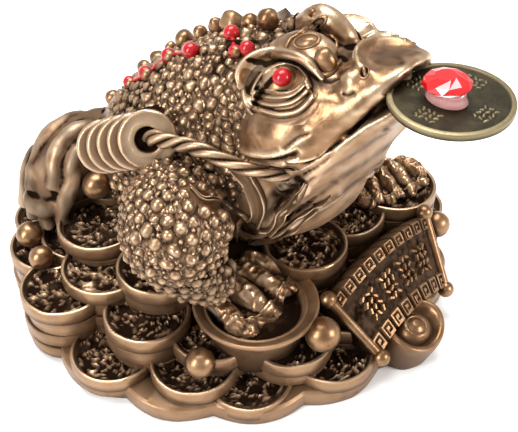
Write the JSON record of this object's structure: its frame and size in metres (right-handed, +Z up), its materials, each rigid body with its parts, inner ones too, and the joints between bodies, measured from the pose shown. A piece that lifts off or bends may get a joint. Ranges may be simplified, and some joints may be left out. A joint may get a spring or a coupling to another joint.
{
  "type": "money toad figure",
  "caption": "Small cast figure of a toad on a heap of coins, holding a loose coin in its mouth; stands on a shelf or desk.",
  "frame": {"origin": "centre of the heap's flat underside, on the surface that it stands on", "axes": "+Z up, -Y the way the toad looks, -X the toad's right side"},
  "size_m": [0.0949, 0.1063, 0.0699],
  "materials": {
    "casting": "cast resin in satin antique-bronze metallic paint, dark in the hollows, with red-painted eyes and back dots",
    "loose_coin": "aged olive brass with a brighter rim",
    "stone": "polished red faceted stone on clear glue"
  },
  "bodies": {
    "root": {"toad_figure": "casting", "mouth_coin": "loose_coin", "coin_gem": "stone"}
  },
  "joints": []
}
